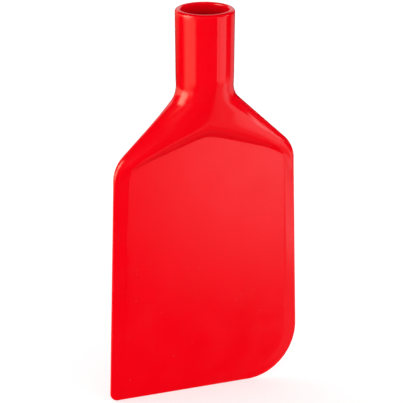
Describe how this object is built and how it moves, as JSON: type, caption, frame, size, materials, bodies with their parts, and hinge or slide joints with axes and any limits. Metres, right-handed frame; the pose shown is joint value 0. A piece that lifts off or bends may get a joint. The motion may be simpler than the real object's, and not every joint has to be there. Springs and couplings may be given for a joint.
{
  "type": "paddle scraper",
  "caption": "Paddle scraper head in moulded red plastic: round blind socket for a handle, sloping shoulders and a flat bevelled blade with one square and one rounded corner.",
  "frame": {"origin": "centre of the handle socket's mouth, on the socket's axis", "axes": "+Z along the socket's axis, out of its mouth; -Y out of the front face of the blade; +X to the right seen from the front, towards the widely rounded lower corner"},
  "size_m": [0.1152, 0.033, 0.22],
  "materials": {
    "red_plastic": "glossy injection-moulded red plastic"
  },
  "bodies": {
    "root": {"paddle_moulding": "red_plastic"}
  },
  "joints": []
}
